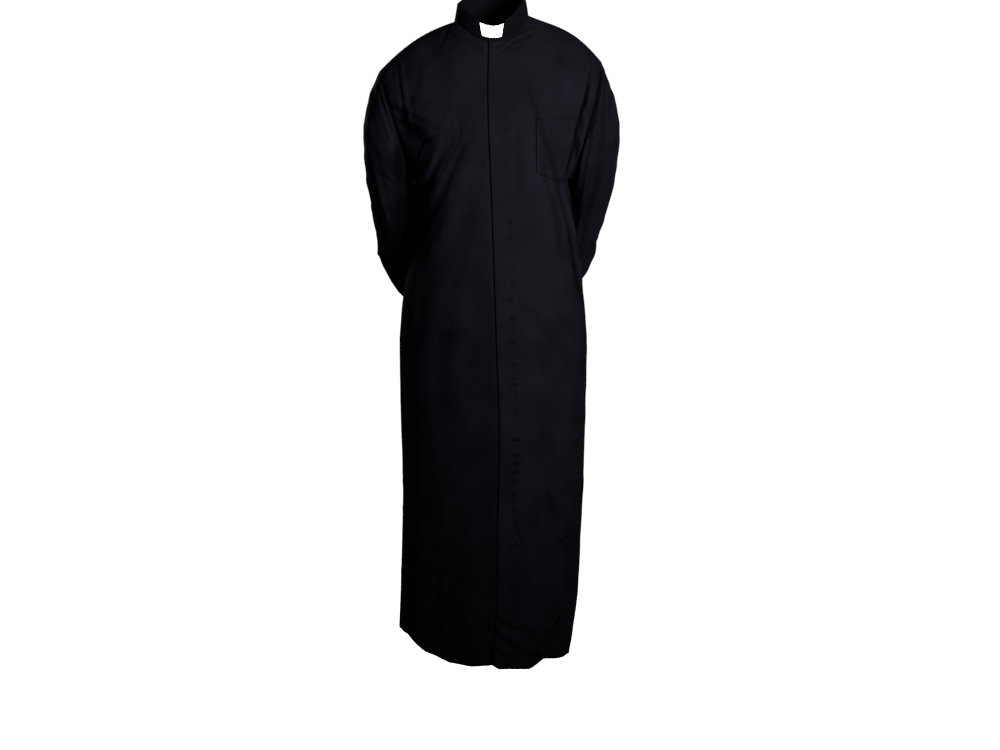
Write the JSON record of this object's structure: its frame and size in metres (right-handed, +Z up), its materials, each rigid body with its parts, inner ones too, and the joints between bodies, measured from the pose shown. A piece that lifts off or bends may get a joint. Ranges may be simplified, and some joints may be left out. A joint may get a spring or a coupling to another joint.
{
  "type": "cassock",
  "caption": "Long black clerical robe in its worn, hollow form: stand collar with a notch and white insert, concealed front fly, chest pocket, long sleeves bent behind the back.",
  "frame": {"origin": "centre of the neck opening, level with the sides of the collar's foot, where the wearer's neck and shoulders hold the robe", "axes": "+Z up along the standing wearer, -Y out of the front with the fly, +X toward the wearer's left; the hem hangs at about z = -1.35 m"},
  "size_m": [0.5334, 0.3809, 1.4143],
  "materials": {
    "black cloth": "matte, fine plain weave with a faint sheen",
    "white insert": "smooth, satin"
  },
  "bodies": {
    "root": {"back": "black cloth", "front_left": "black cloth", "front_right": "black cloth", "fly_placket": "black cloth", "chest_pocket": "black cloth", "collar": "black cloth", "collar_tab": "white insert", "sleeve_left": "black cloth", "sleeve_right": "black cloth"}
  },
  "joints": []
}
